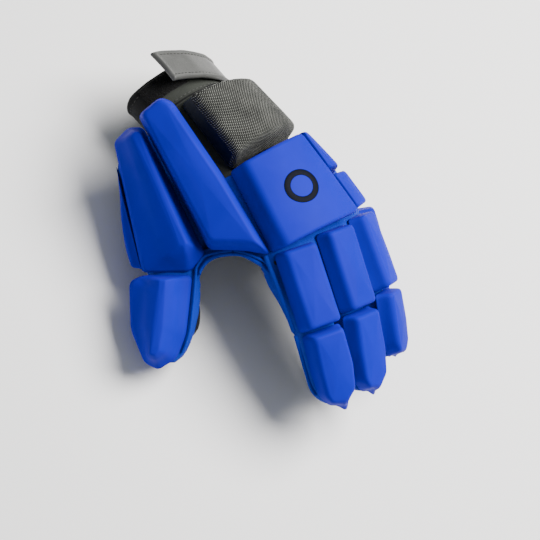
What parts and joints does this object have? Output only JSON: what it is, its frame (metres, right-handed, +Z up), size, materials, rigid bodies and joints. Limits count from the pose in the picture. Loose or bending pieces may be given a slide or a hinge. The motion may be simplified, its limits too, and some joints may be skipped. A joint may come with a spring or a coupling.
{
  "type": "foam hockey glove",
  "caption": "Left-hand foam-padded indoor hockey glove with segmented finger, thumb and wrist pads and a strapped cuff",
  "frame": {"origin": "centre of the bounding box's underside, on the table that the glove stands on", "axes": "+Z up, +Y towards the wrist opening with the fingers along -Y, thumb on the -X side, palm down"},
  "size_m": [0.1762, 0.2268, 0.0818],
  "materials": {
    "blue_skin": "matte",
    "foam": "matte",
    "blue_lining": "matte",
    "black_mesh": "matte",
    "black_fabric": "matte",
    "palm_grip": "matte",
    "strap_grey": "satin",
    "hook_loop": "matte"
  },
  "bodies": {
    "hand": {"knuckle_pad_cover": "blue_skin", "knuckle_pad_foam": "foam", "edge_pad_lower_cover": "blue_lining", "edge_pad_lower_foam": "foam", "edge_pad_upper_cover": "blue_lining", "edge_pad_upper_foam": "foam", "back_lining": "blue_lining", "palm_panel": "black_fabric", "palm_grip": "palm_grip"},
    "index_base": {"index_proximal_pad_cover": "blue_skin", "index_proximal_pad_foam": "foam", "index_proximal_stall": "blue_lining"},
    "index_tip": {"index_distal_pad_cover": "blue_skin", "index_distal_pad_foam": "foam", "index_distal_stall": "blue_lining"},
    "middle_base": {"middle_proximal_pad_cover": "blue_skin", "middle_proximal_pad_foam": "foam", "middle_proximal_stall": "blue_lining"},
    "middle_tip": {"middle_distal_pad_cover": "blue_skin", "middle_distal_pad_foam": "foam", "middle_distal_stall": "blue_lining"},
    "ring_base": {"ring_proximal_pad_cover": "blue_skin", "ring_proximal_pad_foam": "foam", "ring_proximal_stall": "blue_lining"},
    "ring_tip": {"ring_distal_pad_cover": "blue_skin", "ring_distal_pad_foam": "foam", "ring_distal_stall": "blue_lining"},
    "little_base": {"little_proximal_pad_cover": "blue_skin", "little_proximal_pad_foam": "foam", "little_proximal_stall": "blue_lining"},
    "little_tip": {"little_distal_pad_cover": "blue_skin", "little_distal_pad_foam": "foam", "little_distal_stall": "blue_lining"},
    "web": {"web_pad_cover": "blue_skin", "web_pad_foam": "foam", "web_lining": "blue_lining", "web_binding": "blue_lining"},
    "thumb_base": {"thumb_base_pad_cover": "blue_skin", "thumb_base_pad_foam": "foam", "thumb_side_pad_cover": "blue_skin", "thumb_side_pad_foam": "foam", "thumb_base_lining": "blue_lining", "thumb_base_stall": "blue_lining"},
    "thumb_tip": {"thumb_tip_pad_cover": "blue_skin", "thumb_tip_pad_foam": "foam", "thumb_tip_stall": "blue_lining", "thumb_grip_patch": "palm_grip"},
    "cuff": {"wrist_pad_cover": "black_mesh", "wrist_pad_foam": "foam", "cuff_sleeve": "black_fabric", "wristband": "black_fabric", "loop_patch": "hook_loop", "wrist_strap": "black_fabric"},
    "strap": {"strap_tab": "strap_grey", "hook_patch": "hook_loop"}
  },
  "joints": [
    {"name": "index_knuckle", "type": "hinge", "parent": "hand", "child": "index_base", "pos_m": [0.00399, -0.02215, 0.06639], "axis": [0.962, -0.1401, -0.2345], "range_deg": [-8, 14], "stiffness_Nm_per_rad": 1},
    {"name": "index_middle_joint", "type": "hinge", "parent": "index_base", "child": "index_tip", "pos_m": [-0.00185, -0.06857, 0.05567], "axis": [0.962, -0.1401, -0.2345], "range_deg": [-8, 15], "stiffness_Nm_per_rad": 0.8},
    {"name": "middle_knuckle", "type": "hinge", "parent": "hand", "child": "middle_base", "pos_m": [0.0315, -0.0221, 0.06497], "axis": [0.9457, -0.0504, -0.321], "range_deg": [-8, 14], "stiffness_Nm_per_rad": 1},
    {"name": "middle_middle_joint", "type": "hinge", "parent": "middle_base", "child": "middle_tip", "pos_m": [0.02599, -0.06869, 0.05267], "axis": [0.9457, -0.0504, -0.321], "range_deg": [-8, 15], "stiffness_Nm_per_rad": 0.8},
    {"name": "ring_knuckle", "type": "hinge", "parent": "hand", "child": "ring_base", "pos_m": [0.05776, -0.02021, 0.05315], "axis": [0.911, 0.0745, -0.4056], "range_deg": [-8, 14], "stiffness_Nm_per_rad": 1},
    {"name": "ring_middle_joint", "type": "hinge", "parent": "ring_base", "child": "ring_tip", "pos_m": [0.05449, -0.06478, 0.04227], "axis": [0.911, 0.0745, -0.4056], "range_deg": [-8, 15], "stiffness_Nm_per_rad": 0.8},
    {"name": "little_knuckle", "type": "hinge", "parent": "hand", "child": "little_base", "pos_m": [0.07619, -0.01451, 0.03212], "axis": [0.8559, 0.1982, -0.4777], "range_deg": [-8, 14], "stiffness_Nm_per_rad": 1},
    {"name": "little_middle_joint", "type": "hinge", "parent": "little_base", "child": "little_tip", "pos_m": [0.07121, -0.04909, 0.01995], "axis": [0.8559, 0.1982, -0.4777], "range_deg": [-8, 15], "stiffness_Nm_per_rad": 0.8},
    {"name": "web_fold", "type": "hinge", "parent": "hand", "child": "web", "pos_m": [-0.01011, -0.0211, 0.065], "axis": [0, 0.9995, 0.0332], "range_deg": [-7, 7], "stiffness_Nm_per_rad": 2},
    {"name": "thumb_fold", "type": "hinge", "parent": "web", "child": "thumb_base", "pos_m": [-0.03455, 0.03943, 0.0501], "axis": [0, 0.9995, 0.0332], "range_deg": [-10, 10], "stiffness_Nm_per_rad": 2},
    {"name": "thumb_joint", "type": "hinge", "parent": "thumb_base", "child": "thumb_tip", "pos_m": [-0.0601, 0.00354, 0.03094], "axis": [0.7524, -0.5106, 0.4161], "range_deg": [-10, 25], "stiffness_Nm_per_rad": 1.2},
    {"name": "wrist_hinge", "type": "hinge", "parent": "hand", "child": "cuff", "pos_m": [0.02941, 0.03156, 0.06112], "axis": [0.9373, 0.0116, -0.3484], "range_deg": [-12, 10], "stiffness_Nm_per_rad": 2.5},
    {"name": "strap_peel", "type": "hinge", "parent": "cuff", "child": "strap", "pos_m": [0.03222, 0.03159, 0.06007], "axis": [-0.0843, 0.9773, -0.1945], "range_deg": [-3, 70], "stiffness_Nm_per_rad": 0.05}
  ]
}
